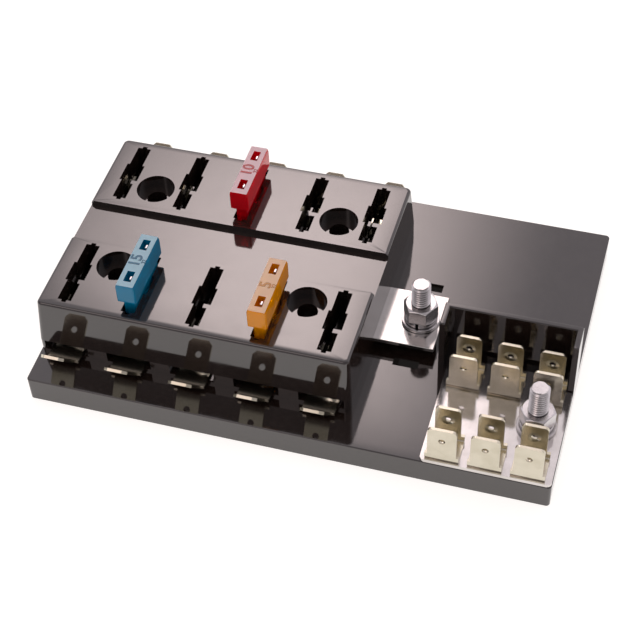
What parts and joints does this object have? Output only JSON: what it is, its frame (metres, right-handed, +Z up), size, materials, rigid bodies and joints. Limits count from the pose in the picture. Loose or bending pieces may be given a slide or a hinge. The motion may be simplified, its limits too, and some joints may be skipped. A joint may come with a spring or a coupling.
{
  "type": "blade fuse block",
  "caption": "Panel-mount blade fuse block with two rows of fuse ways, bent output tabs, a feed stud on a bus bar and a ground bus of upright tabs.",
  "frame": {"origin": "centre of the base's underside", "axes": "+X along the rows of fuse ways towards the feed stud, +Y towards the rear row, +Z up out of the panel"},
  "size_m": [0.137, 0.0886, 0.0329],
  "materials": {
    "base_plastic": "glossy moulded black plastic",
    "cover_plastic": "glossy moulded black plastic",
    "screw_steel": "zinc plated",
    "bus_metal": "bright tin plated brass",
    "plate_metal": "bright tin plated brass",
    "terminal_metal": "tin plated brass",
    "ground_tab_metal": "tin plated brass",
    "rivet_metal": "plated",
    "stud_steel": "bright zinc plated steel",
    "red_fuse_plastic": "translucent moulded",
    "blue_fuse_plastic": "translucent moulded",
    "orange_fuse_plastic": "translucent moulded",
    "fuse_metal": "zinc alloy"
  },
  "bodies": {
    "block": {"base": "base_plastic", "cover": "cover_plastic", "cover_screws": "screw_steel", "bus_bar": "bus_metal", "feed_stud": "stud_steel", "feed_washer": "stud_steel", "feed_spring_washer": "stud_steel", "feed_nut": "stud_steel", "ground_plate": "plate_metal", "ground_rivets": "rivet_metal", "ground_stud": "stud_steel", "ground_washer": "stud_steel", "ground_spring_washer": "stud_steel", "ground_nut": "stud_steel", "front_terminal_1": "terminal_metal", "front_terminal_2": "terminal_metal", "front_terminal_3": "terminal_metal", "front_terminal_4": "terminal_metal", "front_terminal_5": "terminal_metal", "rear_terminal_1": "terminal_metal", "rear_terminal_2": "terminal_metal", "rear_terminal_3": "terminal_metal", "rear_terminal_4": "terminal_metal", "rear_terminal_5": "terminal_metal", "ground_terminal_1": "ground_tab_metal", "ground_terminal_2": "ground_tab_metal", "ground_terminal_3": "ground_tab_metal", "ground_terminal_4": "ground_tab_metal", "ground_terminal_5": "ground_tab_metal", "ground_terminal_6": "ground_tab_metal"},
    "red_fuse": {"red_fuse_housing": "red_fuse_plastic", "red_fuse_element": "fuse_metal"},
    "blue_fuse": {"blue_fuse_housing": "blue_fuse_plastic", "blue_fuse_element": "fuse_metal"},
    "orange_fuse": {"orange_fuse_housing": "orange_fuse_plastic", "orange_fuse_element": "fuse_metal"}
  },
  "joints": [
    {"name": "red_fuse_pull", "type": "slide", "parent": "block", "child": "red_fuse", "axis": [0, 0, 1], "range_m": [0, 0.015]},
    {"name": "blue_fuse_pull", "type": "slide", "parent": "block", "child": "blue_fuse", "axis": [0, 0, 1], "range_m": [0, 0.015]},
    {"name": "orange_fuse_pull", "type": "slide", "parent": "block", "child": "orange_fuse", "axis": [0, 0, 1], "range_m": [0, 0.015]}
  ]
}
